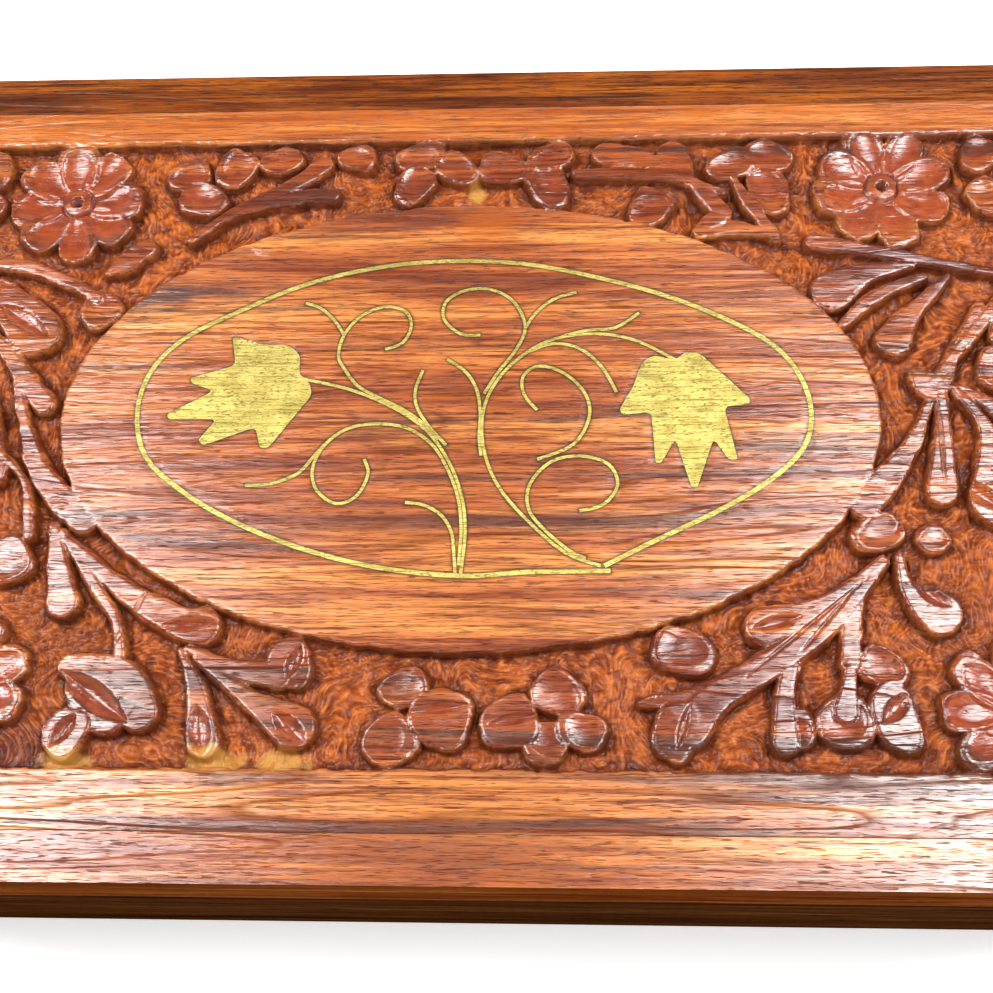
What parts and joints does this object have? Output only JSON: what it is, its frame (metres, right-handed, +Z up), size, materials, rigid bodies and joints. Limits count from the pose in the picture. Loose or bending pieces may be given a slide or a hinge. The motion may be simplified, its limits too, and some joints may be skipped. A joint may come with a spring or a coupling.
{
  "type": "jewelry box",
  "caption": "Hinged wooden jewelry box: a carved floral lid panel in a plain frame, with brass wire and leaf inlay in a smooth oval, over a velvet-lined base.",
  "frame": {"origin": "centre of the underside of the closed box", "axes": "+X along the length to the right, -Y to the front, +Z up"},
  "size_m": [0.228, 0.152, 0.057],
  "materials": {
    "rosewood": "glossy varnished reddish rosewood, carved and stippled on the panel",
    "rosewood_dark": "satin varnished dark brown rosewood with straight grain",
    "plywood": "bare thin board, matt",
    "inlay_brass": "sanded flush, fine scratches, dark edge line",
    "hinge_brass": "satin brass",
    "velvet": "short dark red pile",
    "felt": "matt green felt"
  },
  "bodies": {
    "base": {"front_wall": "rosewood_dark", "back_wall": "rosewood_dark", "left_wall": "rosewood_dark", "right_wall": "rosewood_dark", "bottom_board": "plywood", "base_felt": "felt", "floor_lining": "velvet", "front_lining": "velvet", "back_lining": "velvet", "left_lining": "velvet", "right_lining": "velvet", "left_hinge_base_leaf": "hinge_brass", "right_hinge_base_leaf": "hinge_brass", "left_hinge_pin": "hinge_brass", "right_hinge_pin": "hinge_brass", "base_hinge_screws": "hinge_brass"},
    "lid": {"lid_panel": "rosewood", "lid_front_rail": "rosewood", "lid_back_rail": "rosewood_dark", "lid_left_rail": "rosewood", "lid_right_rail": "rosewood", "lid_lining": "velvet", "oval_strip": "inlay_brass", "left_brass_leaf": "inlay_brass", "right_brass_leaf": "inlay_brass", "left_stem_wire": "inlay_brass", "left_root_wire": "inlay_brass", "left_upper_scroll_wire": "inlay_brass", "left_upper_tendril_wire": "inlay_brass", "left_spur_wire": "inlay_brass", "left_lower_scroll_wire": "inlay_brass", "left_tail_wire": "inlay_brass", "right_stem_wire": "inlay_brass", "right_tip_wire": "inlay_brass", "right_branch_wire": "inlay_brass", "right_top_scroll_wire": "inlay_brass", "right_top_tendril_wire": "inlay_brass", "right_spur_wire": "inlay_brass", "right_middle_scroll_wire": "inlay_brass", "right_lower_scroll_wire": "inlay_brass", "left_hinge_lid_leaf": "hinge_brass", "right_hinge_lid_leaf": "hinge_brass", "lid_hinge_screws": "hinge_brass"}
  },
  "joints": [
    {"name": "lid_hinge", "type": "hinge", "parent": "base", "child": "lid", "pos_m": [0, 0.074, 0.039], "axis": [-1, 0, 0], "range_deg": [0, 100]}
  ]
}
